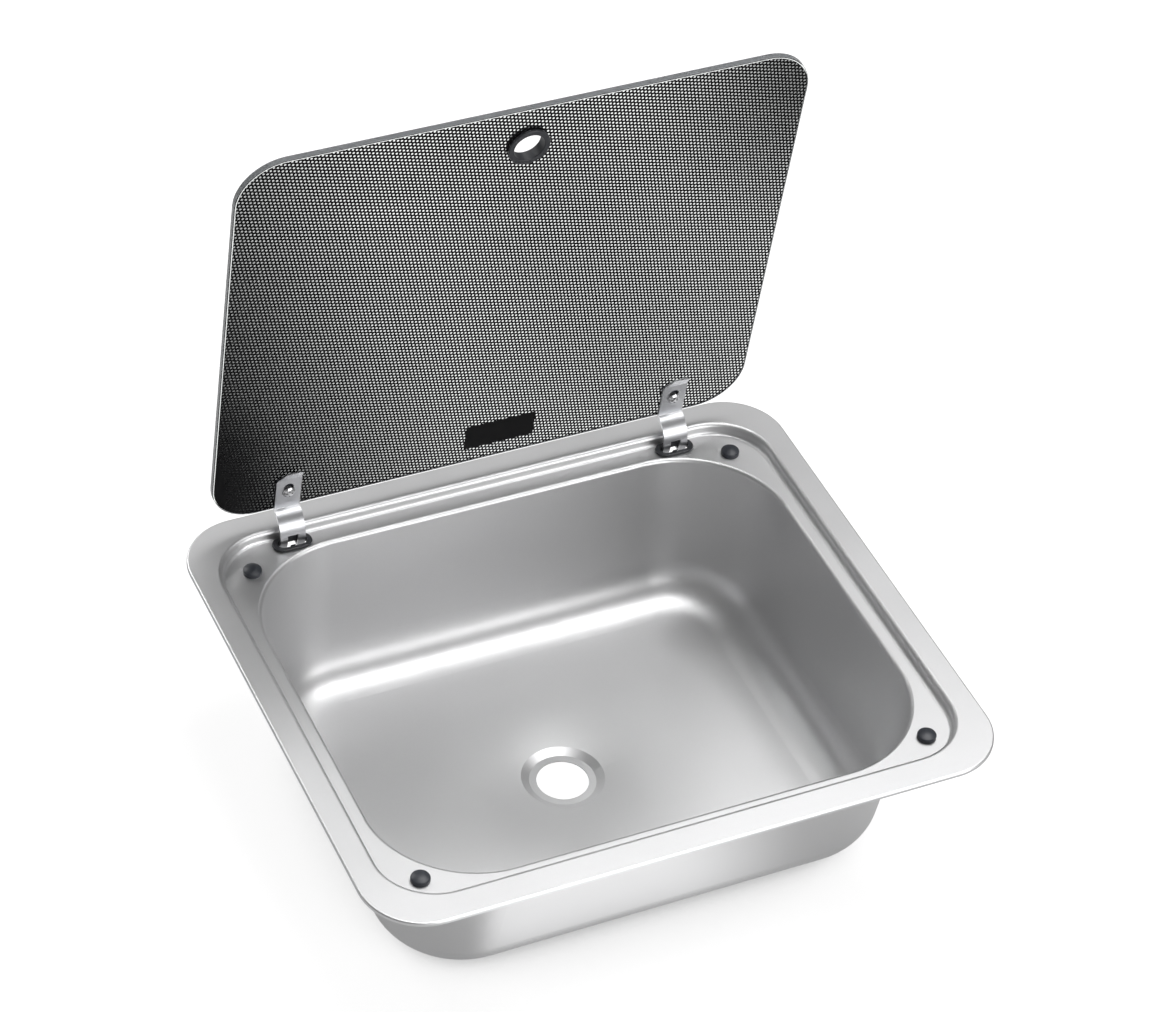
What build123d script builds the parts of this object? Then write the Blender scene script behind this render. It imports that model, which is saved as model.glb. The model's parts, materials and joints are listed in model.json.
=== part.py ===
from build123d import *
import os
from math import asin, atan2, degrees, radians, sin, sqrt

# Drop-in camper sink with a hinged glass lid, shown with the lid open.
# Millimetres. +X to the right, +Y to the hinge side, +Z up.
# The origin is below the middle of the rim, level with the underside of the outlet.

# ---- Driving dimensions ----

# Pressed bowl
sheet = 0.8                      # steel sheet
rim_length = 420.0               # outside, left to right
rim_width = 370.0                # outside, front to back
rim_corner = 40.0
rim_height = 2.5                 # turned-down lip, top to worktop
rim_edge_radius = 1.2
rim_roll_radius = 3.0            # inner edge of the flat rim
rim_side_border = 18.0           # rim's edge to the wall of the sunk field, left and right
rim_front_border = 21.5
rim_back_border = 20.0
recess_corner = 37.5
recess_depth = 8.0               # sunk field that the lid lies in
recess_foot_radius = 2.0
bowl_side_land = 11.0            # ledge from recess wall to bowl, left and right
bowl_front_land = 10.5
bowl_back_land = 14.5
bowl_corner = 70.0
bowl_roll_radius = 2.5
bowl_depth = 120.0               # rim top to the flat of the floor
bowl_side_taper = 12.0           # how far each wall leans in over the depth
bowl_front_taper = 21.0
bowl_back_taper = 8.5
base_corner = 54.0
base_radius = 29.0               # wall to floor

# Waste outlet
drain_shift_x = -4.5             # from the middle of the floor
drain_shift_y = 0.4
drain_hole_diameter = 34.4
drain_seat_diameter = 44.0
drain_dish_diameter = 55.0
drain_dish_depth = 3.0
floor_fall = 4.0                 # slope of the floor to the outlet
floor_fall_radius = 100.0

# Lid and its hinge line
glass_thickness = 4.0
lid_corner = 32.0
lid_side_gap = 4.5
lid_front_gap = 2.5
lid_back_gap = 7.0
lid_seat_depth = 3.5             # closed glass underside below the rim top
lid_open_angle = 81.55
glass_chamfer = 0.5
hinge_setback = 9.3              # hinge line behind the recess wall
hinge_drop = 2.0                 # hinge line below the rim top
hinge_inset = 56.0               # recess side wall to the middle of an arm

# Finger ring in the lid
ring_from_front = 31.5           # ring centre to the glass's front edge
ring_outer_diameter = 27.4
ring_inner_diameter = 20.0
ring_neck_diameter = 23.4
ring_flange = 1.8
ring_edge_radius = 0.7

# Hinge arms
arm_width = 17.2
arm_thickness = 1.5
arm_radius = 17.75               # middle of the strip about the hinge line
arm_tab_length = 35.0            # along the glass from its back edge
arm_lip_length = 6.0
arm_lip_angle = 14.0
arm_bend_inner = 0.7
arm_corner_side = 6.0            # cut corner of the tab
arm_corner_end = 7.0
arm_corner_radius = 2.0
arm_slot_width = 6.6
arm_slot_length = 12.0
arm_slot_offset = 1.5            # slot centre beyond the screw
notch_width = 7.2                # open notch in the tail
notch_angle = 172.0              # its upper end, lid open, from +Y
stop_foot = 4.0                  # bent tail that meets the grommet when the lid is open
stop_clearance = 0.1

# Screw through the glass
screw_from_back = 17.0           # screw to the glass's back edge
screw_diameter = 4.0
screw_head_diameter = 8.5
screw_head_height = 2.6
screw_cross_width = 1.1
screw_cross_length = 4.6
screw_cross_depth = 1.2
glass_hole_diameter = 7.0
bush_clearance = 0.2
screw_clearance = 0.15
pad_thickness = 0.8              # between arm and glass
pad_inset = 2.0                  # from the glass's back edge
pad_corner = 1.0
washer_diameter = 12.5
washer_thickness = 0.8
nut_diameter = 14.0
nut_height = 3.6
nut_cover = 1.2                  # steel above the blind thread
nut_edge_radius = 1.0

# Grommet round each arm
grommet_length = 26.8
grommet_width = 13.2
grommet_flange = 2.0
grommet_edge_radius = 0.7
grommet_base_chamfer = 1.2       # clears the foot of the recess wall
grommet_opening_length = 20.0
grommet_opening_width = 8.4
grommet_wall = 0.8
grommet_clearance = 0.15
grommet_lug = 1.0                # snap lug below the ledge at each end

# Lid buffers
buffer_side_inset = 22.5         # from the recess walls
buffer_front_inset = 20.3
buffer_back_inset = 24.3
buffer_diameter = 12.2
buffer_edge_radius = 1.2
buffer_dome = 1.6                # apex above the top's edge
buffer_stem_diameter = 5.0
buffer_barb_diameter = 6.6
buffer_barb_length = 3.0
buffer_clearance = 0.1

# Catch spring in front of each arm
catch_width = 3.2
catch_thickness = 0.5
catch_foot = 16.0                # weld on the back wall, down from the ledge
catch_foot_top = 4.8
catch_jog = 3.0                  # where it enters the grommet, down from the ledge
catch_side_gap = 0.3             # to the grommet's front edge
catch_nose = 0.4                 # nose, down from the ledge
catch_tip = 1.1                  # tip, up from the ledge
catch_tip_set = 1.2              # tip, in front of the nose
catch_bend_radius = 0.6
catch_clearance = 0.3            # nose to arm

# Seal under the rim
seal_width = 3.4
seal_clearance = 0.2

# ---- Derived places ----

margin = 1.0                     # overshoot of cutting shapes
position_tolerance = 0.01
rim_top_z = bowl_depth + floor_fall + drain_dish_depth + sheet
lip_z = rim_top_z - rim_height
ledge_z = rim_top_z - recess_depth
floor_z = rim_top_z - bowl_depth
seat_z = floor_z - floor_fall - drain_dish_depth
recess_length = rim_length - 2 * rim_side_border
recess_front_y = -rim_width / 2 + rim_front_border
recess_back_y = rim_width / 2 - rim_back_border
recess_width = recess_back_y - recess_front_y

bowl_length = recess_length - 2 * bowl_side_land
bowl_front_y = recess_front_y + bowl_front_land
bowl_back_y = recess_back_y - bowl_back_land
base_length = bowl_length - 2 * bowl_side_taper
base_front_y = bowl_front_y + bowl_front_taper
base_back_y = bowl_back_y - bowl_back_taper
drain_x = drain_shift_x
drain_y = (base_front_y + base_back_y) / 2 + drain_shift_y

hinge_y = recess_back_y + hinge_setback
hinge_z = rim_top_z - hinge_drop
lid_plane = Plane(Location((0, hinge_y, hinge_z), (-lid_open_angle, 0, 0)))
glass_inner = hinge_drop - lid_seat_depth
glass_outer = glass_inner + glass_thickness
glass_back = -(lid_back_gap + hinge_setback)
glass_length = recess_length - 2 * lid_side_gap
glass_width = recess_width - lid_back_gap - lid_front_gap
ring_y = glass_back - glass_width + ring_from_front
screw_y = glass_back - screw_from_back
hinge_x = recess_length / 2 - hinge_inset
hinge_sides = {"left": -hinge_x, "right": hinge_x}

tab_back = glass_inner - pad_thickness
tab_front = tab_back - arm_thickness
tab_end = glass_back - arm_tab_length
lip_start = tab_end + arm_lip_length
arm_inner_radius = arm_radius - arm_thickness / 2
arm_outer_radius = arm_radius + arm_thickness / 2
slot_y = hinge_y - sqrt(arm_radius**2 - (hinge_z - ledge_z) ** 2)
neck_length = grommet_opening_length + 2 * grommet_wall
neck_width = grommet_opening_width + 2 * grommet_wall
grommet_low = ledge_z - sheet - grommet_clearance - grommet_lug

buffer_x = recess_length / 2 - buffer_side_inset
buffer_front_y = recess_front_y + buffer_front_inset
buffer_back_y = recess_back_y - buffer_back_inset


# ---- Pressed sink bowl ----


def loop_at(part, height, length, front_y, back_y):
    """The edges at one height that lie inside a rectangle."""
    level = part.edges().filter_by_position(
        Axis.Z, height - position_tolerance, height + position_tolerance
    )
    return level.filter_by(
        lambda edge: abs(edge.center().X) <= length / 2 + position_tolerance
        and front_y - position_tolerance <= edge.center().Y <= back_y + position_tolerance
    )


def stamped_solid(grow, plate_height):
    """The hollow of the pressing, or its outside when it grows by the sheet."""
    plate_z = rim_top_z - grow
    land_z = ledge_z - grow
    with BuildPart() as stamp:
        with BuildSketch(Plane.XY.offset(plate_z)):
            RectangleRounded(
                rim_length - 4 * rim_edge_radius,
                rim_width - 4 * rim_edge_radius,
                rim_corner - 2 * rim_edge_radius,
            )
        extrude(amount=plate_height)
        with BuildSketch(Plane.XY.offset(plate_z)):
            with Locations((0, (recess_front_y + recess_back_y) / 2)):
                RectangleRounded(
                    recess_length + 2 * grow, recess_width + 2 * grow, recess_corner + grow
                )
        extrude(amount=-recess_depth)
        fillet(stamp.edges().group_by(Axis.Z)[0], recess_foot_radius + grow)
        fillet(
            loop_at(
                stamp,
                plate_z,
                recess_length + 2 * grow,
                recess_front_y - grow,
                recess_back_y + grow,
            ),
            rim_roll_radius - grow,
        )
        with BuildSketch(Plane.XY.offset(land_z)):
            with Locations((0, (bowl_front_y + bowl_back_y) / 2)):
                RectangleRounded(
                    bowl_length + 2 * grow,
                    bowl_back_y - bowl_front_y + 2 * grow,
                    bowl_corner + grow,
                )
        with BuildSketch(Plane.XY.offset(floor_z - grow)):
            with Locations((0, (base_front_y + base_back_y) / 2)):
                RectangleRounded(
                    base_length + 2 * grow,
                    base_back_y - base_front_y + 2 * grow,
                    base_corner + grow,
                )
        loft(ruled=True)
        fillet(stamp.edges().group_by(Axis.Z)[0], base_radius + grow)
        fillet(
            loop_at(stamp, land_z, bowl_length + 2 * grow, bowl_front_y - grow, bowl_back_y + grow),
            bowl_roll_radius - grow,
        )
    return stamp.part


def outlet_solid(grow):
    """The dished fall of the floor and the seat round the outlet."""
    outlet_plane = Plane(origin=(drain_x, drain_y, floor_z - grow), x_dir=(1, 0, 0), z_dir=(0, -1, 0))
    dish_radius = drain_dish_diameter / 2 + grow
    seat_radius = drain_seat_diameter / 2 + grow
    fall_arc = (floor_fall_radius - dish_radius) ** 2 / (2 * floor_fall) + floor_fall / 2
    with BuildPart() as outlet:
        with BuildSketch(outlet_plane):
            with BuildLine():
                fall = RadiusArc((floor_fall_radius, 0), (dish_radius, -floor_fall), -fall_arc)
                wall = Line(fall @ 1, (seat_radius, -floor_fall - drain_dish_depth))
                Polyline(
                    wall @ 1,
                    (0, -floor_fall - drain_dish_depth),
                    (0, margin),
                    (floor_fall_radius, margin),
                    fall @ 0,
                )
            make_face()
        revolve(axis=Axis((drain_x, drain_y, 0), (0, 0, 1)))
    return outlet.part


outer_skin = stamped_solid(sheet, sheet)
outer_outlet = outlet_solid(sheet)
inner_space = stamped_solid(0, rim_height)
inner_outlet = outlet_solid(0)

with BuildPart() as sink_bowl:
    with BuildSketch(Plane.XY.offset(lip_z)):
        RectangleRounded(rim_length, rim_width, rim_corner)
    extrude(amount=rim_height)
    fillet(sink_bowl.edges().group_by(Axis.Z)[-1], rim_edge_radius)
    with BuildSketch(Plane.XY.offset(lip_z)):
        RectangleRounded(rim_length - 2 * sheet, rim_width - 2 * sheet, rim_corner - sheet)
    extrude(amount=rim_height - sheet, mode=Mode.SUBTRACT)
    add(outer_skin)
    add(outer_outlet)
    add(inner_space, mode=Mode.SUBTRACT)
    add(inner_outlet, mode=Mode.SUBTRACT)
    # waste outlet
    with BuildSketch(Plane.XY.offset(seat_z + margin)):
        with Locations((drain_x, drain_y)):
            Circle(drain_hole_diameter / 2)
    extrude(amount=-2 * margin - sheet, mode=Mode.SUBTRACT)
    # slots for the hinge arms and holes for the buffers
    with BuildSketch(Plane.XY.offset(ledge_z + sheet)):
        with Locations([(x, slot_y) for x in hinge_sides.values()]):
            SlotOverall(neck_length + 2 * grommet_clearance, neck_width + 2 * grommet_clearance)
        with Locations(
            [(x, y) for x in (-buffer_x, buffer_x) for y in (buffer_front_y, buffer_back_y)]
        ):
            Circle(buffer_stem_diameter / 2 + buffer_clearance)
    extrude(amount=-3 * sheet, mode=Mode.SUBTRACT)

# ---- Seal under the rim ----

with BuildPart() as rim_seal:
    seal_inset = 2 * (sheet + seal_clearance)
    with BuildSketch(Plane.XY.offset(lip_z)):
        RectangleRounded(rim_length - seal_inset, rim_width - seal_inset, rim_corner - seal_inset / 2)
        RectangleRounded(
            rim_length - seal_inset - 2 * seal_width,
            rim_width - seal_inset - 2 * seal_width,
            rim_corner - seal_inset / 2 - seal_width,
            mode=Mode.SUBTRACT,
        )
    extrude(amount=rim_height - sheet)

# ---- Buffers ----


def make_buffer(x, y):
    """A round rubber buffer pushed into a hole in the ledge."""
    head_height = recess_depth - lid_seat_depth
    stem_radius = buffer_stem_diameter / 2
    radius = buffer_diameter / 2
    dome_radius = (radius**2 + buffer_dome**2) / (2 * buffer_dome)
    with BuildPart() as buffer:
        with BuildSketch(Plane(origin=(x, y, ledge_z), x_dir=(1, 0, 0), z_dir=(0, -1, 0))):
            with BuildLine():
                top = RadiusArc((0, head_height), (radius, head_height - buffer_dome), dome_radius)
                Polyline(
                    top @ 1,
                    (radius, 0),
                    (stem_radius, 0),
                    (stem_radius, -sheet - buffer_clearance),
                    (buffer_barb_diameter / 2, -sheet - buffer_clearance),
                    (stem_radius - buffer_clearance, -sheet - buffer_barb_length),
                    (0, -sheet - buffer_barb_length),
                    top @ 0,
                )
            make_face()
        revolve(axis=Axis((x, y, 0), (0, 0, 1)))
        edge_z = ledge_z + head_height - buffer_dome
        top_edge = buffer.edges().filter_by_position(
            Axis.Z, edge_z - position_tolerance, edge_z + position_tolerance
        )
        fillet(top_edge, buffer_edge_radius)
    return buffer.part


# ---- Grommets in the ledge slots ----


def make_grommet(x):
    """An oval plastic grommet that lines the slot of one hinge arm."""
    with BuildPart() as grommet:
        with BuildSketch(Plane.XY.offset(ledge_z)):
            with Locations((x, slot_y)):
                SlotOverall(grommet_length, grommet_width)
        extrude(amount=grommet_flange)
        fillet(grommet.edges().group_by(Axis.Z)[-1], grommet_edge_radius)
        chamfer(grommet.edges().group_by(Axis.Z)[0], grommet_base_chamfer)
        with BuildSketch(Plane.XY.offset(ledge_z)):
            with Locations((x, slot_y)):
                SlotOverall(neck_length, neck_width)
        extrude(amount=-sheet - grommet_clearance)
        with BuildSketch(Plane.XY.offset(ledge_z - sheet - grommet_clearance)):
            with Locations((x, slot_y)):
                SlotOverall(neck_length + 2 * grommet_lug, neck_width)
        extrude(amount=-grommet_lug)
        with BuildSketch(Plane.XY.offset(ledge_z + grommet_flange)):
            with Locations((x, slot_y)):
                SlotOverall(grommet_opening_length, grommet_opening_width)
        extrude(
            amount=-grommet_flange - sheet - grommet_clearance - grommet_lug, mode=Mode.SUBTRACT
        )
    return grommet.part


# ---- Glass lid ----

with BuildPart() as glass_lid:
    with BuildSketch(lid_plane.offset(glass_inner)):
        with Locations((0, glass_back - glass_width / 2)):
            RectangleRounded(glass_length, glass_width, lid_corner)
        with Locations((0, ring_y)):
            Circle(ring_neck_diameter / 2 + bush_clearance, mode=Mode.SUBTRACT)
        with Locations([(x, screw_y) for x in hinge_sides.values()]):
            Circle(glass_hole_diameter / 2, mode=Mode.SUBTRACT)
    extrude(amount=glass_thickness)
    chamfer(
        glass_lid.edges().filter_by(lambda edge: edge.length > ring_outer_diameter * 2)
        + glass_lid.edges().filter_by(
            lambda edge: edge.geom_type == GeomType.CIRCLE
            and abs(edge.radius - lid_corner) < position_tolerance
        ),
        glass_chamfer,
    )


def lid_axis_plane(x, y):
    """A plane across the glass through a point of the lid; its Y is the glass's outward normal."""
    return Plane(
        origin=lid_plane.from_local_coords((x, y, 0)), x_dir=(1, 0, 0), z_dir=-lid_plane.y_dir
    )


def lid_axis(x, y):
    """The line square to the glass through a point of the lid."""
    return Axis(lid_plane.from_local_coords((x, y, 0)), lid_plane.z_dir)


with BuildPart() as finger_ring:
    with BuildSketch(lid_axis_plane(0, ring_y)):
        ring_low = glass_inner - ring_flange
        ring_high = glass_outer + ring_flange
        with BuildLine():
            Polyline(
                (ring_inner_diameter / 2, ring_low),
                (ring_outer_diameter / 2, ring_low),
                (ring_outer_diameter / 2, glass_inner),
                (ring_neck_diameter / 2, glass_inner),
                (ring_neck_diameter / 2, glass_outer),
                (ring_outer_diameter / 2, glass_outer),
                (ring_outer_diameter / 2, ring_high),
                (ring_inner_diameter / 2, ring_high),
                close=True,
            )
        make_face()
    revolve(axis=lid_axis(0, ring_y))
    rims = finger_ring.edges().filter_by(GeomType.CIRCLE).group_by(lid_axis(0, ring_y))
    fillet(rims[0] + rims[-1], ring_edge_radius)

# ---- Hinge arms ----


def in_lid(y, z):
    """A point beside the hinge line with the lid open, in the lid's own frame."""
    point = lid_plane.to_local_coords(Vector(0, hinge_y + y, hinge_z + z))
    return (point.Y, point.Z)


def make_hinge_arm(x):
    """A strip bent round the hinge line, with a tab for the glass and a notched tail."""
    start = x - arm_width / 2
    arm_plane = Plane(origin=(start, hinge_y, hinge_z), x_dir=lid_plane.y_dir, z_dir=(1, 0, 0))
    lip_drop = arm_lip_length * sin(radians(arm_lip_angle))
    inner_bend = 180 + degrees(asin(-tab_back / arm_inner_radius))
    outer_bend = 180 + degrees(asin(-tab_front / arm_outer_radius))
    # the foot under the grommet
    foot_top = grommet_low - stop_clearance - hinge_z
    foot_low = foot_top - arm_thickness
    foot_end = stop_foot - sqrt(arm_inner_radius**2 - foot_top**2)
    inner_tail = 180 + degrees(asin(-foot_top / arm_inner_radius)) + lid_open_angle
    outer_tail = 180 + degrees(asin(-foot_low / arm_outer_radius)) + lid_open_angle
    with BuildPart() as arm:
        with BuildSketch(arm_plane):
            with BuildLine():
                outer = CenterArc((0, 0), arm_outer_radius, outer_tail, outer_bend - outer_tail)
                inner = CenterArc((0, 0), arm_inner_radius, inner_bend, inner_tail - inner_bend)
                Polyline(
                    outer @ 1,
                    (lip_start, tab_front),
                    (tab_end, tab_front - lip_drop),
                    (tab_end, tab_back - lip_drop),
                    (lip_start, tab_back),
                    inner @ 0,
                )
                Polyline(
                    inner @ 1,
                    in_lid(foot_end, foot_top),
                    in_lid(foot_end, foot_low),
                    outer @ 0,
                )
            make_face()
        extrude(amount=arm_width)
        # bends at the glass and at the foot
        middle = arm_width / 2
        foot_corner = in_lid(foot_end - stop_foot, foot_top)
        heel_corner = in_lid(-sqrt(arm_outer_radius**2 - foot_low**2), foot_low)
        tab_corner = (-sqrt(arm_outer_radius**2 - tab_front**2), tab_front)
        back_corner = (-sqrt(arm_inner_radius**2 - tab_back**2), tab_back)
        for corner, radius in (
            (foot_corner, arm_bend_inner),
            (tab_corner, arm_bend_inner),
            (heel_corner, arm_bend_inner + arm_thickness),
            (back_corner, arm_bend_inner + arm_thickness),
        ):
            place = arm_plane.from_local_coords((corner[0], corner[1], middle))
            fillet(arm.edges().filter_by(Axis.X).sort_by_distance(place)[0], radius)
        # notch in the tail
        notch_start = notch_angle + lid_open_angle
        notch_end = 180 + degrees(atan2(-foot_low, -foot_end)) + lid_open_angle + margin
        notch_floor = arm_inner_radius - stop_foot - margin
        with BuildSketch(arm_plane.offset((arm_width - notch_width) / 2)):
            with BuildLine():
                far = CenterArc(
                    (0, 0), arm_outer_radius + margin, notch_start, notch_end - notch_start
                )
                near = CenterArc((0, 0), notch_floor, notch_end, notch_start - notch_end)
                Line(far @ 1, near @ 0)
                Line(near @ 1, far @ 0)
            make_face()
        extrude(amount=notch_width, mode=Mode.SUBTRACT)
        # adjusting slot and cut corner of the tab
        with BuildSketch(lid_plane.offset(tab_front - arm_lip_length)):
            with Locations((x, screw_y - arm_slot_offset)):
                SlotOverall(arm_slot_length, arm_slot_width, rotation=90)
            with BuildLine():
                Polyline(
                    (start - margin, tab_end - margin),
                    (start - margin, tab_end + arm_corner_end + margin * arm_corner_end / arm_corner_side),
                    (
                        start + arm_corner_side + margin * arm_corner_side / arm_corner_end,
                        tab_end - margin,
                    ),
                    close=True,
                )
            make_face()
        extrude(amount=2 * arm_lip_length, mode=Mode.SUBTRACT)
        free_corner = lid_plane.from_local_coords(
            (start + arm_width, tab_end, (tab_back + tab_front) / 2 - lip_drop)
        )
        fillet(arm.edges().sort_by_distance(free_corner)[0], arm_corner_radius)
    return arm.part


# ---- Screws, bushes, washers and cap nuts ----

nut_top = glass_outer + washer_thickness + nut_height

with BuildPart() as lid_screws:
    for x in hinge_sides.values():
        with BuildSketch(lid_axis_plane(x, screw_y)):
            with BuildLine():
                head = ThreePointArc(
                    (0, tab_front - screw_head_height),
                    (screw_head_diameter / 3, tab_front - screw_head_height * 0.8),
                    (screw_head_diameter / 2, tab_front - screw_head_height * 0.35),
                )
                Polyline(
                    head @ 1,
                    (screw_head_diameter / 2, tab_front),
                    (screw_diameter / 2, tab_front),
                    (screw_diameter / 2, nut_top - nut_cover),
                    (0, nut_top - nut_cover),
                    head @ 0,
                )
            make_face()
        revolve(axis=lid_axis(x, screw_y))
        with BuildSketch(lid_plane.offset(tab_front - screw_head_height)):
            with Locations((x, screw_y)):
                Rectangle(screw_cross_length, screw_cross_width)
                Rectangle(screw_cross_width, screw_cross_length)
        extrude(amount=screw_cross_depth, mode=Mode.SUBTRACT)

with BuildPart() as lid_bushes:
    with BuildSketch(lid_plane.offset(tab_back)):
        with Locations([(x, screw_y) for x in hinge_sides.values()]):
            Circle(glass_hole_diameter / 2 - bush_clearance)
            Circle(screw_diameter / 2 + screw_clearance, mode=Mode.SUBTRACT)
    extrude(amount=pad_thickness + glass_thickness - bush_clearance)

with BuildPart() as lid_washers:
    with BuildSketch(lid_plane.offset(glass_outer)):
        with Locations([(x, screw_y) for x in hinge_sides.values()]):
            Circle(washer_diameter / 2)
            Circle(screw_diameter / 2 + screw_clearance, mode=Mode.SUBTRACT)
    extrude(amount=washer_thickness)

with BuildPart() as lid_cap_nuts:
    with BuildSketch(lid_plane.offset(glass_outer + washer_thickness)):
        with Locations([(x, screw_y) for x in hinge_sides.values()]):
            Circle(nut_diameter / 2)
    extrude(amount=nut_height)
    nut_tops = lid_cap_nuts.faces().sort_by(Axis(lid_plane.origin, lid_plane.z_dir))[-2:]
    fillet(nut_tops.edges(), nut_edge_radius)
    with BuildSketch(lid_plane.offset(glass_outer + washer_thickness)):
        with Locations([(x, screw_y) for x in hinge_sides.values()]):
            Circle(screw_diameter / 2)
    extrude(amount=nut_height - nut_cover, mode=Mode.SUBTRACT)

# ---- Pads between arms and glass ----


def make_pad(x):
    """A thin pad under the flat of one arm's tab, with a hole for the bush."""
    pad_back = glass_back - pad_inset
    with BuildPart() as pad:
        with BuildSketch(lid_plane.offset(tab_back)):
            with Locations((x, (pad_back + lip_start) / 2)):
                RectangleRounded(arm_width, pad_back - lip_start, pad_corner)
            with Locations((x, screw_y)):
                Circle(glass_hole_diameter / 2, mode=Mode.SUBTRACT)
        extrude(amount=pad_thickness)
    return pad.part


# ---- Catch springs ----


def make_catch_spring(x):
    """A narrow blade welded to the back wall, rising through the slot to bear on the arm."""
    wall_run = (bowl_back_y - base_back_y) / (ledge_z - floor_z)
    weld_face = bowl_back_y + sheet + catch_thickness / 2
    nose_radius = arm_outer_radius + catch_clearance + catch_thickness / 2
    nose_z = ledge_z - catch_nose
    nose_y = hinge_y - sqrt(nose_radius**2 - (hinge_z - nose_z) ** 2)
    entry_y = slot_y - grommet_opening_width / 2 + catch_side_gap + catch_thickness / 2
    with BuildPart() as catch:
        with BuildSketch(Plane(origin=(x - catch_width / 2, 0, 0), x_dir=(0, 1, 0), z_dir=(1, 0, 0))):
            with BuildLine():
                FilletPolyline(
                    (weld_face - wall_run * catch_foot, ledge_z - catch_foot),
                    (weld_face - wall_run * catch_foot_top, ledge_z - catch_foot_top),
                    (entry_y, ledge_z - catch_jog),
                    (nose_y, nose_z),
                    (nose_y - catch_tip_set, ledge_z + catch_tip),
                    radius=catch_bend_radius,
                )
            trace(line_width=catch_thickness)
        extrude(amount=catch_width)
    return catch.part


# ---- Files ----

os.makedirs("parts", exist_ok=True)

pieces = {
    "sink_bowl": sink_bowl.part,
    "rim_seal": rim_seal.part,
    "glass_lid": glass_lid.part,
    "finger_ring": finger_ring.part,
    "lid_screws": lid_screws.part,
    "lid_bushes": lid_bushes.part,
    "lid_washers": lid_washers.part,
    "lid_cap_nuts": lid_cap_nuts.part,
}
for side_name, side_x in hinge_sides.items():
    pieces[side_name + "_hinge_arm"] = make_hinge_arm(side_x)
    pieces[side_name + "_slot_grommet"] = make_grommet(side_x)
    pieces[side_name + "_glass_pad"] = make_pad(side_x)
    pieces[side_name + "_catch_spring"] = make_catch_spring(side_x)
for place, y in {"front": buffer_front_y, "back": buffer_back_y}.items():
    pieces[place + "_left_buffer"] = make_buffer(-buffer_x, y)
    pieces[place + "_right_buffer"] = make_buffer(buffer_x, y)

for piece_name, piece in pieces.items():
    piece.label = piece_name
    export_step(piece, "parts/" + piece_name + ".step")
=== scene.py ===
import json
from math import cos, radians, sin

import bpy
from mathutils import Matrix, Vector


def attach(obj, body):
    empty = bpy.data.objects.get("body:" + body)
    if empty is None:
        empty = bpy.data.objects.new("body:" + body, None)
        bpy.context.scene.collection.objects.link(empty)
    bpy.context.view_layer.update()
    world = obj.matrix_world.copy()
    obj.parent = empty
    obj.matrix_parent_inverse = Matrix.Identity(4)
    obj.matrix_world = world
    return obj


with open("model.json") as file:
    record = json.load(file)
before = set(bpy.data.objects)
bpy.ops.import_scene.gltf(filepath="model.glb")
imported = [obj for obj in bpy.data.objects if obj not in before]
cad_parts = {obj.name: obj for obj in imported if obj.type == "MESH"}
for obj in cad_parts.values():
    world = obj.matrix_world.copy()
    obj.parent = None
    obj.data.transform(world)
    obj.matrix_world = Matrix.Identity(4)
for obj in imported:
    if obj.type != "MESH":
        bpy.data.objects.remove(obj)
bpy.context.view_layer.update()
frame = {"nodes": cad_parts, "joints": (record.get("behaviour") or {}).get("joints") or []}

print("frame loaded")

# the open lid in metres, measured from the hinge line
lid = {
    "openAngle": radians(81.55),
    "hingeLine": Vector(frame["joints"][0]["pos_m"]),
    "innerFace": -0.0015,  # along the lid's outward normal
    "backEdge": -0.0163,  # the glass's edge next to the hinges
    "depth": 0.319,
    "width": 0.375,
    "thickness": 0.004,
    "corner": 0.032,
    "cornerSegments": 16,
    "ringFromFront": 0.0315,
}
lidForward = Vector((0.0, cos(lid["openAngle"]), -sin(lid["openAngle"])))  # towards the hinges
lidNormal = Vector((0.0, sin(lid["openAngle"]), cos(lid["openAngle"])))  # out of the top face


def onLid(x, y, z):
    return lid["hingeLine"] + Vector((x, 0.0, 0.0)) + lidForward * y + lidNormal * z


def freshMaterial(name):
    material = bpy.data.materials.new(name)
    material.use_nodes = True
    nodes = material.node_tree.nodes
    return material, nodes, material.node_tree.links, nodes["Principled BSDF"]


def addMath(nodes, links, operation, first, second=None, clamp=False):
    node = nodes.new("ShaderNodeMath")
    node.operation = operation
    node.use_clamp = clamp
    for socket, value in zip(node.inputs, (first, second)):
        if value is None:
            continue
        if isinstance(value, (int, float)):
            socket.default_value = value
        else:
            links.new(value, socket)
    return node.outputs[0]


def softStep(nodes, links, value, ends):
    # rises from 0 at the first end to 1 at the second
    step = nodes.new("ShaderNodeMapRange")
    step.interpolation_type = "SMOOTHSTEP"
    step.inputs["From Min"].default_value, step.inputs["From Max"].default_value = ends
    links.new(value, step.inputs["Value"])
    return step.outputs["Result"]


def objectNoise(nodes, links, detail):
    place = nodes.new("ShaderNodeTexCoord")
    noise = nodes.new("ShaderNodeTexNoise")
    noise.inputs["Detail"].default_value = detail
    links.new(place.outputs["Object"], noise.inputs["Vector"])
    return noise


# fine rolled-steel grain: a slow blotch and a quick speckle on tone, gloss and height
satin = {
    "speckleDetail": 3.0,
    "blotchDetail": 2.0,
    "blotchScale": 14.0,
    "reliefDistance": 0.0002,
}


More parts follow.
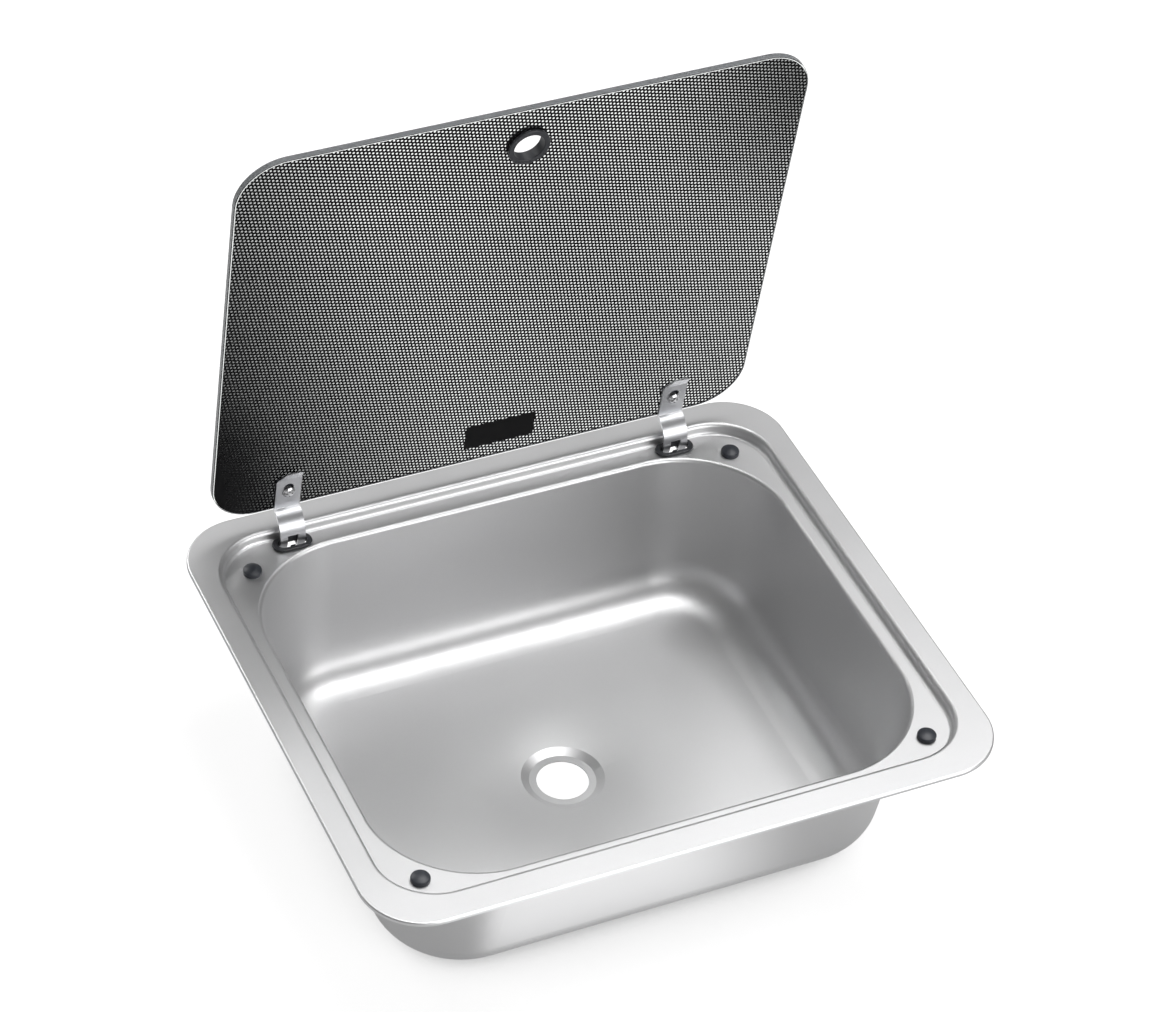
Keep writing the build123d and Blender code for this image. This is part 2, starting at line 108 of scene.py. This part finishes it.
def makeSatinGroup():
    group = bpy.data.node_groups.new("satinGrain", "ShaderNodeTree")
    face = group.interface
    for name, value in (("Scale", 900.0), ("Tone Spread", 0.05), ("Gloss Spread", 0.05), ("Gloss", 0.3)):
        socket = face.new_socket(name=name, in_out="INPUT", socket_type="NodeSocketFloat")
        socket.default_value = value
    colour = face.new_socket(name="Colour", in_out="INPUT", socket_type="NodeSocketColor")
    colour.default_value = (0.6, 0.6, 0.6, 1.0)
    for name, kind in (("Colour", "Color"), ("Roughness", "Float"), ("Height", "Float")):
        face.new_socket(name=name, in_out="OUTPUT", socket_type="NodeSocket" + kind)
    nodes, links = group.nodes, group.links
    entry = nodes.new("NodeGroupInput")
    leave = nodes.new("NodeGroupOutput")
    speckle = objectNoise(nodes, links, satin["speckleDetail"])
    links.new(entry.outputs["Scale"], speckle.inputs["Scale"])
    blotch = objectNoise(nodes, links, satin["blotchDetail"])
    blotch.inputs["Scale"].default_value = satin["blotchScale"]
    mixed = addMath(nodes, links, "ADD", speckle.outputs["Fac"], blotch.outputs["Fac"])
    centred = addMath(nodes, links, "SUBTRACT", mixed, 1.0)
    tone = addMath(nodes, links, "MULTIPLY", centred, entry.outputs["Tone Spread"])
    level = addMath(nodes, links, "ADD", tone, 1.0)
    tinted = nodes.new("ShaderNodeVectorMath")
    tinted.operation = "SCALE"
    links.new(entry.outputs["Colour"], tinted.inputs[0])
    links.new(level, tinted.inputs["Scale"])
    shift = addMath(nodes, links, "MULTIPLY", centred, entry.outputs["Gloss Spread"])
    gloss = addMath(nodes, links, "ADD", shift, entry.outputs["Gloss"], clamp=True)
    links.new(tinted.outputs[0], leave.inputs["Colour"])
    links.new(gloss, leave.inputs["Roughness"])
    links.new(speckle.outputs["Fac"], leave.inputs["Height"])
    return group


satinGroup = makeSatinGroup()


def makeSatin(name, metallic, tint, gloss, scale=900.0, toneSpread=0.05, bump=0.0):
    material, nodes, links, shader = freshMaterial(name)
    grain = nodes.new("ShaderNodeGroup")
    grain.node_tree = satinGroup
    grain.inputs["Scale"].default_value = scale
    grain.inputs["Tone Spread"].default_value = toneSpread
    grain.inputs["Gloss"].default_value = gloss
    grain.inputs["Colour"].default_value = (*tint, 1.0)
    links.new(grain.outputs["Colour"], shader.inputs["Base Color"])
    links.new(grain.outputs["Roughness"], shader.inputs["Roughness"])
    shader.inputs["Metallic"].default_value = metallic
    if bump:
        relief = nodes.new("ShaderNodeBump")
        relief.inputs["Strength"].default_value = bump
        relief.inputs["Distance"].default_value = satin["reliefDistance"]
        links.new(grain.outputs["Height"], relief.inputs["Height"])
        links.new(relief.outputs["Normal"], shader.inputs["Normal"])
    return material


steels = {
    "sinkSteel": {"tint": (0.71, 0.71, 0.715), "gloss": 0.42, "scale": 1500.0, "toneSpread": 0.06},
    "stripSteel": {"tint": (0.5, 0.505, 0.52), "gloss": 0.32, "scale": 500.0, "toneSpread": 0.1},
    "springSteel": {"tint": (0.07, 0.07, 0.075), "gloss": 0.4},
    "screwSteel": {"tint": (0.66, 0.66, 0.67), "gloss": 0.18, "toneSpread": 0.03},
}
otherSolids = {
    "blackPlastic": {"tint": (0.028, 0.03, 0.035), "gloss": 0.38, "scale": 700.0, "bump": 0.1},
    "blackRubber": {"tint": (0.025, 0.028, 0.036), "gloss": 0.42, "scale": 600.0, "bump": 0.15},
    "paleRubber": {"tint": (0.72, 0.72, 0.7), "gloss": 0.7},
    "palePlastic": {"tint": (0.7, 0.7, 0.68), "gloss": 0.45},
    "groundGlass": {"tint": (0.2, 0.205, 0.215), "gloss": 0.6, "scale": 1200.0},
}
finishes = {name: makeSatin(name, 1.0, **values) for name, values in steels.items()}
finishes.update({name: makeSatin(name, 0.0, **values) for name, values in otherSolids.items()})

glass = {
    "colour": (0.93, 0.95, 0.94),
    "ior": 1.5,
    "specularLevel": 0.3,
    "smearScale": 9.0,
    "smearDetail": 2.0,
    "haze": 0.03,  # roughness where a smear is thickest
}


def makeGlass():
    material, nodes, links, shader = freshMaterial("clearGlass")
    smears = objectNoise(nodes, links, glass["smearDetail"])
    smears.inputs["Scale"].default_value = glass["smearScale"]
    haze = addMath(nodes, links, "MULTIPLY", smears.outputs["Fac"], glass["haze"])
    links.new(haze, shader.inputs["Roughness"])
    shader.inputs["Base Color"].default_value = (*glass["colour"], 1.0)
    shader.inputs["Metallic"].default_value = 0.0
    shader.inputs["Transmission Weight"].default_value = 1.0
    shader.inputs["IOR"].default_value = glass["ior"]
    shader.inputs["Specular IOR Level"].default_value = glass["specularLevel"]
    return material


# black screen print, with painted shade over its dots: clear round dots on a slanted hexagonal grid; the
# pattern is in millimetres
screenPrintAndShade = {
    "acrossStep": (0.425, 0.100),
    "upStep": (0.113, 0.375),
    "acrossDot": (2.532, -0.763),
    "upDot": (-0.675, 2.870),
    "dotRadius": 0.745,
    "dotSoftness": 0.12,
    "plateCentre": (11.0, 38.0),
    "plateHalf": (24.5, 11.0),
    # painted shade over the dots, in millimetres: the dark corners and the dim side
    "shadeLowCorner": (-248.0, 46.0),
    "shadeLowFade": (60.0, 121.0),
    "shadeHighCorner": (259.0, 337.0),
    "shadeHighFade": (14.0, 200.0),
    "shadeSideSlant": (0.952, 0.306),
    "shadeSideFade": (-180.0, 16.0),
    "colour": (0.003, 0.003, 0.0035),
    "gloss": 0.4,
    "specularLevel": 0.06,
    # the film itself is in metres
    "patternStart": -0.0023,  # from the hinge line, along the lid
    "inset": 0.001,
    "thickness": 0.00001,
    "standOff": 0.00002,  # keeps it off the glass's own face
    "ringHole": 0.0125,
    "ringCutterDepth": 0.02,
    "ringSides": 64,
}


def makePrintAndShade():
    material, nodes, links, shader = freshMaterial("screenPrintAndShade")
    place = nodes.new("ShaderNodeTexCoord")

    def combine(operation, first, second=None, clamp=False):
        return addMath(nodes, links, operation, first, second, clamp)

    def along(direction, start):
        # distance of the shaded point from start, along direction, in millimetres
        offset = nodes.new("ShaderNodeVectorMath")
        offset.operation = "SUBTRACT"
        links.new(place.outputs["Object"], offset.inputs[0])
        offset.inputs[1].default_value = start
        dot = nodes.new("ShaderNodeVectorMath")
        dot.operation = "DOT_PRODUCT"
        links.new(offset.outputs[0], dot.inputs[0])
        dot.inputs[1].default_value = direction * 1000.0
        return dot.outputs["Value"]

    def weighted(first, second, weights):
        return combine("ADD", combine("MULTIPLY", first, weights[0]), combine("MULTIPLY", second, weights[1]))

    def length(first, second):
        squares = combine("MULTIPLY", first, first), combine("MULTIPLY", second, second)
        return combine("SQRT", combine("ADD", *squares))

    across = along(Vector((1.0, 0.0, 0.0)), Vector((0.0, 0.0, 0.0)))
    up = along(-lidForward, onLid(0.0, screenPrintAndShade["patternStart"], lid["innerFace"]))

    def gridOffset(step):
        turned = weighted(across, up, screenPrintAndShade[step])
        return combine("SUBTRACT", turned, combine("ROUND", turned))

    # from the middle of the nearest dot
    first, second = gridOffset("acrossStep"), gridOffset("upStep")
    sideways, upwards = (
        weighted(first, second, (screenPrintAndShade["acrossDot"][axis], screenPrintAndShade["upDot"][axis]))
        for axis in (0, 1)
    )
    # 1 inside a dot, 0 on the black
    inside = combine("SUBTRACT", screenPrintAndShade["dotRadius"], length(sideways, upwards))
    dot = combine("ADD", combine("DIVIDE", inside, screenPrintAndShade["dotSoftness"]), 0.5, clamp=True)

    def outsidePlate(value, axis):
        centred = combine("SUBTRACT", value, screenPrintAndShade["plateCentre"][axis])
        return combine("GREATER_THAN", combine("ABSOLUTE", centred), screenPrintAndShade["plateHalf"][axis])

    dot = combine("MULTIPLY", dot, combine("MAXIMUM", outsidePlate(across, 0), outsidePlate(up, 1)))

    # painted shade: 0 near the corner, rising to 1 away from it
    def paintedShadeFrom(corner, ends):
        sideways = combine("SUBTRACT", across, screenPrintAndShade[corner][0])
        upwards = combine("SUBTRACT", up, screenPrintAndShade[corner][1])
        return softStep(nodes, links, length(sideways, upwards), screenPrintAndShade[ends])

    # painted shade: the dots grow fainter to the left and the upper right, and go dark in the lower left
    # corner
    slanted = weighted(across, up, screenPrintAndShade["shadeSideSlant"])
    paintedShade = softStep(nodes, links, slanted, screenPrintAndShade["shadeSideFade"])
    for corner, ends in (("shadeLowCorner", "shadeLowFade"), ("shadeHighCorner", "shadeHighFade")):
        paintedShade = combine("MULTIPLY", paintedShade, paintedShadeFrom(corner, ends))
    # light passes both faces of the film
    dot = combine("MULTIPLY", dot, combine("SQRT", paintedShade))

    links.new(combine("SUBTRACT", 1.0, dot), shader.inputs["Alpha"])
    shader.inputs["Base Color"].default_value = (*screenPrintAndShade["colour"], 1.0)
    shader.inputs["Roughness"].default_value = screenPrintAndShade["gloss"]
    shader.inputs["Specular IOR Level"].default_value = screenPrintAndShade["specularLevel"]
    shader.inputs["Metallic"].default_value = 0.0
    return material


def chooseNothing():
    bpy.ops.object.select_all(action="DESELECT")


def chooseOnly(piece):
    chooseNothing()
    piece.select_set(True)
    bpy.context.view_layer.objects.active = piece


def settlePiece(piece):
    # the finished piece's place goes into its mesh
    chooseOnly(piece)
    bpy.ops.object.transform_apply(location=True, rotation=True, scale=True)


def giveMaterial(piece, material):
    piece.data.materials.clear()
    piece.data.materials.append(material)


def roundedPlane(name, inset, height):
    # the lid's outline, drawn in by inset, at a height over the glass's inner face
    chooseNothing()
    bpy.ops.mesh.primitive_plane_add(
        size=1.0,
        location=onLid(0.0, lid["backEdge"] - lid["depth"] / 2, lid["innerFace"] + height),
        rotation=(-lid["openAngle"], 0.0, 0.0),
    )
    piece = bpy.context.object
    piece.name = name
    piece.scale = (lid["width"] - 2 * inset, lid["depth"] - 2 * inset, 1.0)
    settlePiece(piece)
    bpy.ops.object.mode_set(mode="EDIT")
    bpy.ops.mesh.select_all(action="SELECT")
    bpy.ops.mesh.bevel(
        offset=lid["corner"] - inset, segments=lid["cornerSegments"], affect="VERTICES", profile=0.5
    )
    bpy.ops.object.mode_set(mode="OBJECT")
    return piece


def thicken(piece, thickness):
    chooseOnly(piece)
    shell = piece.modifiers.new("shell", "SOLIDIFY")
    shell.thickness = thickness
    shell.offset = -1.0
    bpy.ops.object.modifier_apply(modifier=shell.name)


def modelPrint():
    film = roundedPlane("lidPrintAndShade", screenPrintAndShade["inset"], -screenPrintAndShade["standOff"])
    thicken(film, screenPrintAndShade["thickness"])
    # a hole for the finger ring
    chooseNothing()
    bpy.ops.mesh.primitive_cylinder_add(
        vertices=screenPrintAndShade["ringSides"],
        radius=screenPrintAndShade["ringHole"],
        depth=screenPrintAndShade["ringCutterDepth"],
        location=onLid(0.0, lid["backEdge"] - lid["depth"] + lid["ringFromFront"], lid["innerFace"]),
        rotation=(-lid["openAngle"], 0.0, 0.0),
    )
    cutter = bpy.context.object
    chooseOnly(film)
    hole = film.modifiers.new("hole", "BOOLEAN")
    hole.object = cutter
    hole.operation = "DIFFERENCE"
    bpy.ops.object.modifier_apply(modifier=hole.name)
    bpy.data.objects.remove(cutter)
    giveMaterial(film, makePrintAndShade())
    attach(film, "lid")


# the ground edge of the glass: a skin just inside its outline, clear of both faces
groundEdge = {"inset": 0.00006, "faceGap": 0.00015, "thickness": 0.00004}


def modelGroundEdge():
    band = roundedPlane("groundEdge", groundEdge["inset"], groundEdge["faceGap"])
    bpy.ops.object.mode_set(mode="EDIT")
    bpy.ops.mesh.select_all(action="SELECT")
    bpy.ops.mesh.delete(type="ONLY_FACE")
    bpy.ops.mesh.select_all(action="SELECT")
    across = lidNormal * (lid["thickness"] - 2 * groundEdge["faceGap"])
    bpy.ops.mesh.extrude_region_move(TRANSFORM_OT_translate={"value": across})
    bpy.ops.mesh.select_all(action="SELECT")
    bpy.ops.mesh.normals_make_consistent(inside=False)
    bpy.ops.object.mode_set(mode="OBJECT")
    thicken(band, groundEdge["thickness"])
    giveMaterial(band, finishes["groundGlass"])
    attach(band, "lid")


modelPrint()
modelGroundEdge()
print("screen print and ground edge made")

nodeFinishes = {
    "sink_bowl": "sinkSteel",
    "rim_seal": "paleRubber",
    "finger_ring": "blackPlastic",
    "lid_screws": "screwSteel",
    "lid_cap_nuts": "screwSteel",
    "lid_washers": "blackRubber",
    "lid_bushes": "palePlastic",
}
for side in ("left", "right"):
    nodeFinishes[side + "_hinge_arm"] = "stripSteel"
    nodeFinishes[side + "_glass_pad"] = "blackRubber"
    nodeFinishes[side + "_slot_grommet"] = "blackPlastic"
    nodeFinishes[side + "_catch_spring"] = "springSteel"
    for end in ("front", "back"):
        nodeFinishes[end + "_" + side + "_buffer"] = "blackRubber"
for name, finish in nodeFinishes.items():
    giveMaterial(frame["nodes"][name], finishes[finish])
giveMaterial(frame["nodes"]["glass_lid"], makeGlass())
print("finishes given")

studio = {
    "floorSize": 30.0,
    "floorDrop": 0.0002,  # keeps it off the bottom of the bowl
    "floorColour": (0.3, 0.3, 0.3),
    "floorRoughness": 0.9,
    "floorGlow": 0.85,
    "shadeSamples": 12,
    "shadeReach": 0.15,  # the glow dims where the object closes in within this distance
    "shadeGain": 2.6,  # and only where less than 1 / 2.6 of the surroundings is open
    "outlet": (-0.0045, 0.0054, 0.0),  # the glow stays in the outlet hole
    "outletReach": 0.018,
    "worldLight": 0.16,
    "floorInMetal": 0.36,  # how much of the white floor and sky the metal shows
    "skyInMetal": 0.05,
    "paintedReflectionInMetal": 0.85,  # a painted reflection: a patch of floor before the front that glows only for rays off the metal
    "paintedReflectionLeft": (-0.135, -0.09),
    "paintedReflectionRight": (0.125, 0.02),
    "paintedReflectionBack": (-0.14, -0.155),
    "aim": Vector((0.0, 0.0, 0.1)),
}


def traceRays(nodes, links):
    # 1 for rays that show the backdrop, from the camera and through glass; then the rays off metal
    rays = nodes.new("ShaderNodeLightPath")
    seen = addMath(
        nodes, links, "MAXIMUM", rays.outputs["Is Camera Ray"], rays.outputs["Is Transmission Ray"]
    )
    return seen, rays.outputs["Is Glossy Ray"]


def shadeNearObject(nodes, links, place):
    # 1 on the open floor and in the outlet hole, less where the object stands close
    crevice = nodes.new("ShaderNodeAmbientOcclusion")
    crevice.samples = studio["shadeSamples"]
    crevice.inputs["Distance"].default_value = studio["shadeReach"]
    openSky = addMath(
        nodes, links, "MULTIPLY", crevice.outputs["AO"], studio["shadeGain"], clamp=True
    )
    fromOutlet = nodes.new("ShaderNodeVectorMath")
    fromOutlet.operation = "DISTANCE"
    links.new(place, fromOutlet.inputs[0])
    fromOutlet.inputs[1].default_value = studio["outlet"]
    hole = addMath(nodes, links, "LESS_THAN", fromOutlet.outputs["Value"], studio["outletReach"])
    return addMath(nodes, links, "MAXIMUM", openSky, hole)


def layPaintedReflection(nodes, links, place):
    # painted reflection: 1 on the patch before the front, 0 outside it
    axes = nodes.new("ShaderNodeSeparateXYZ")
    links.new(place, axes.inputs[0])
    paintedReflection = softStep(nodes, links, axes.outputs["X"], studio["paintedReflectionLeft"])
    for axis, ends in (("X", "paintedReflectionRight"), ("Y", "paintedReflectionBack")):
        edge = softStep(nodes, links, axes.outputs[axis], studio[ends])
        paintedReflection = addMath(nodes, links, "MULTIPLY", paintedReflection, edge)
    return paintedReflection


def layFloor():
    chooseNothing()
    bpy.ops.mesh.primitive_plane_add(
        size=studio["floorSize"], location=(0.0, 0.0, -studio["floorDrop"])
    )
    floor = bpy.context.object
    floor.name = "studioFloor"
    settlePiece(floor)
    material, nodes, links, shader = freshMaterial("studioFloor")
    shader.inputs["Base Color"].default_value = (*studio["floorColour"], 1.0)
    shader.inputs["Roughness"].default_value = studio["floorRoughness"]
    shader.inputs["Specular IOR Level"].default_value = 0.0
    shader.inputs["Emission Color"].default_value = (1.0, 1.0, 1.0, 1.0)
    place = nodes.new("ShaderNodeTexCoord").outputs["Object"]
    seen, glossy = traceRays(nodes, links)
    shown = addMath(nodes, links, "MULTIPLY", seen, shadeNearObject(nodes, links, place))
    # painted reflection: the patch before the front glows only for rays off metal, to light the sink's front
    # in its reflection
    paintedReflection = addMath(nodes, links, "MULTIPLY", layPaintedReflection(nodes, links, place), studio["paintedReflectionInMetal"])
    share = addMath(nodes, links, "ADD", paintedReflection, studio["floorInMetal"])
    metal = addMath(nodes, links, "MULTIPLY", glossy, share)
    brighter = addMath(nodes, links, "MAXIMUM", shown, metal)
    glow = addMath(nodes, links, "MULTIPLY", brighter, studio["floorGlow"])
    links.new(glow, shader.inputs["Emission Strength"])
    giveMaterial(floor, material)


def makeWorld():
    world = bpy.data.worlds.new("studio")
    bpy.context.scene.world = world
    world.use_nodes = True
    nodes, links = world.node_tree.nodes, world.node_tree.links
    light = nodes["Background"]
    light.inputs["Color"].default_value = (1.0, 1.0, 1.0, 1.0)
    light.inputs["Strength"].default_value = studio["worldLight"]
    backdrop = nodes.new("ShaderNodeBackground")
    backdrop.inputs["Color"].default_value = (1.0, 1.0, 1.0, 1.0)
    backdrop.inputs["Strength"].default_value = 1.0
    seen, glossy = traceRays(nodes, links)
    metal = addMath(nodes, links, "MULTIPLY", glossy, studio["skyInMetal"])
    mix = nodes.new("ShaderNodeMixShader")
    links.new(addMath(nodes, links, "MAXIMUM", seen, metal), mix.inputs["Fac"])
    links.new(light.outputs[0], mix.inputs[1])
    links.new(backdrop.outputs[0], mix.inputs[2])
    links.new(mix.outputs[0], nodes["World Output"].inputs["Surface"])


lamps = {
    "topLamp": {"at": (0.75, 0.2, 2.9), "size": (2.1, 2.1), "power": 74.0},
    "frontLamp": {"at": (0.9, -2.3, 0.8), "size": (2.4, 1.2), "power": 36.0},
    "backLamp": {"at": (-0.7, 1.75, 1.3), "size": (1.0, 1.0), "power": 14.0},
}


def hangLamp(name, lamp):
    chooseNothing()
    bpy.ops.object.light_add(type="AREA", location=lamp["at"])
    light = bpy.context.object
    light.name = name
    light.data.shape = "RECTANGLE"
    light.data.size, light.data.size_y = lamp["size"]
    light.data.energy = lamp["power"]
    aim = studio["aim"] - Vector(lamp["at"])
    light.rotation_euler = aim.to_track_quat("-Z", "Y").to_euler()


viewpoint = {
    "at": (-0.826916, -1.597539, 1.853778),
    "turn": (48.065, -3.589, -23.987),
    "lens": 121.35,
    "sensor": 36.0,
    "farthest": 100.0,
}


def setCamera():
    chooseNothing()
    bpy.ops.object.camera_add(
        location=viewpoint["at"], rotation=[radians(angle) for angle in viewpoint["turn"]]
    )
    camera = bpy.context.object
    camera.data.lens = viewpoint["lens"]
    camera.data.sensor_width = viewpoint["sensor"]
    camera.data.clip_end = viewpoint["farthest"]
    bpy.context.scene.camera = camera


layFloor()
makeWorld()
for name, lamp in lamps.items():
    hangLamp(name, lamp)
setCamera()
bpy.context.scene.view_settings.view_transform = "Standard"
print("studio set")
